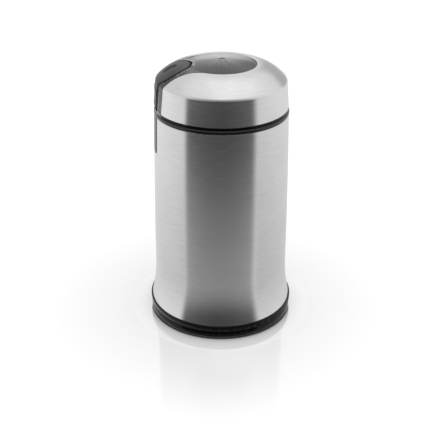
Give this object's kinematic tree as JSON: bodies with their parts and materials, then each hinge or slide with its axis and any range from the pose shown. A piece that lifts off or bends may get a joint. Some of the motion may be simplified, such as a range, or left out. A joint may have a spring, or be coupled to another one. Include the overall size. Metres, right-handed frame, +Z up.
{
  "type": "electric spice grinder",
  "caption": "Waisted steel spice grinder with black base and rim rings, fixed grinding bowl, motor-driven blade and a lift-off domed lid whose front button works the switch.",
  "frame": {"origin": "centre of the circle of feet, on the plane that the feet stand on", "axes": "+Z up along the motor shaft and housing axis; -Y towards the button and the front strip; +Y towards the cord inlet"},
  "size_m": [0.096, 0.096, 0.1741],
  "materials": {
    "housing_steel": "fine brushing round the body, satin",
    "cover_steel": "fine brushing round the lid, satin",
    "bowl_steel": "spun and polished inside",
    "blade_steel": "ground stainless",
    "black_gloss": "moulded, high gloss",
    "base_plastic": "moulded, fine texture",
    "frame_plastic": "moulded, satin",
    "smoky_clear": "clear smoke-grey moulding, polished",
    "button_plastic": "dark grey moulding, fine satin",
    "foot_rubber": "soft, matt",
    "seal_rubber": "silicone, satin",
    "zinc_steel": "zinc plated",
    "spring_steel": "drawn wire",
    "bearing_bronze": "sintered, oiled",
    "shaft_steel": "ground",
    "lamination_steel": "stacked laminations, varnished",
    "copper": "enamelled wire and bare bars",
    "holder_plastic": "phenolic moulding",
    "carbon": "pressed carbon",
    "switch_plastic": "moulded",
    "capacitor_film": "moulded case",
    "white_plastic": "moulded, unpainted",
    "stem_plastic": "moulded",
    "lead_insulation": "soft insulation"
  },
  "bodies": {
    "housing": {"rubber_feet": "foot_rubber", "base_cover": "base_plastic", "base_ring": "black_gloss", "base_screws": "zinc_steel", "cord_bush": "foot_rubber", "housing_shell": "housing_steel", "front_strip": "black_gloss", "top_collar": "black_gloss", "inner_frame": "frame_plastic", "grinding_bowl": "bowl_steel", "bowl_gasket": "seal_rubber", "shaft_seal": "seal_rubber", "upper_bracket": "zinc_steel", "lower_bracket": "zinc_steel", "upper_bearing": "bearing_bronze", "lower_bearing": "bearing_bronze", "motor_dampers": "foot_rubber", "damper_screws": "zinc_steel", "stator_core": "lamination_steel", "field_coils": "copper", "motor_screws": "zinc_steel", "brush_holders": "holder_plastic", "carbon_brushes": "carbon", "brush_springs": "spring_steel", "mains_switch": "switch_plastic", "switch_screws": "zinc_steel", "suppression_capacitor": "capacitor_film", "terminal_block": "white_plastic", "motor_leads": "lead_insulation", "rod_spring": "spring_steel"},
    "rotor": {"motor_shaft": "shaft_steel", "armature_core": "lamination_steel", "armature_winding": "copper", "commutator": "copper", "blade": "blade_steel", "blade_nut": "blade_steel"},
    "push_rod": {"push_rod": "white_plastic"},
    "switch_stem": {"switch_stem": "stem_plastic"},
    "lid": {"lid_cover": "cover_steel", "lid_shell": "smoky_clear", "lid_rim": "black_gloss", "lid_seal": "seal_rubber", "button_spring": "spring_steel"},
    "lid_button": {"lid_button": "button_plastic"}
  },
  "joints": [
    {"name": "rotor_spin", "type": "hinge", "parent": "housing", "child": "rotor", "pos_m": [0, 0, 0.1143], "axis": [0, 0, 1], "continuous": true},
    {"name": "lid_lift", "type": "slide", "parent": "housing", "child": "lid", "axis": [0, 0, 1], "range_m": [0, 0.08]},
    {"name": "button_press", "type": "slide", "parent": "lid", "child": "lid_button", "axis": [0, 0, -1], "range_m": [0, 0.0016], "stiffness_N_per_m": 900, "springref_m": -0.002, "deforming": ["button_spring"]},
    {"name": "rod_press", "type": "slide", "parent": "housing", "child": "push_rod", "axis": [0, 0, -1], "range_m": [0, 0.0016], "stiffness_N_per_m": 300, "springref_m": -0.002, "deforming": ["rod_spring"]},
    {"name": "stem_press", "type": "slide", "parent": "housing", "child": "switch_stem", "axis": [0, 0, -1], "range_m": [0, 0.0016], "stiffness_N_per_m": 30, "springref_m": -0.001}
  ],
  "couplings": [
    {"joint": "rod_press", "follows": "button_press", "ratio": 1},
    {"joint": "stem_press", "follows": "button_press", "ratio": 1}
  ]
}
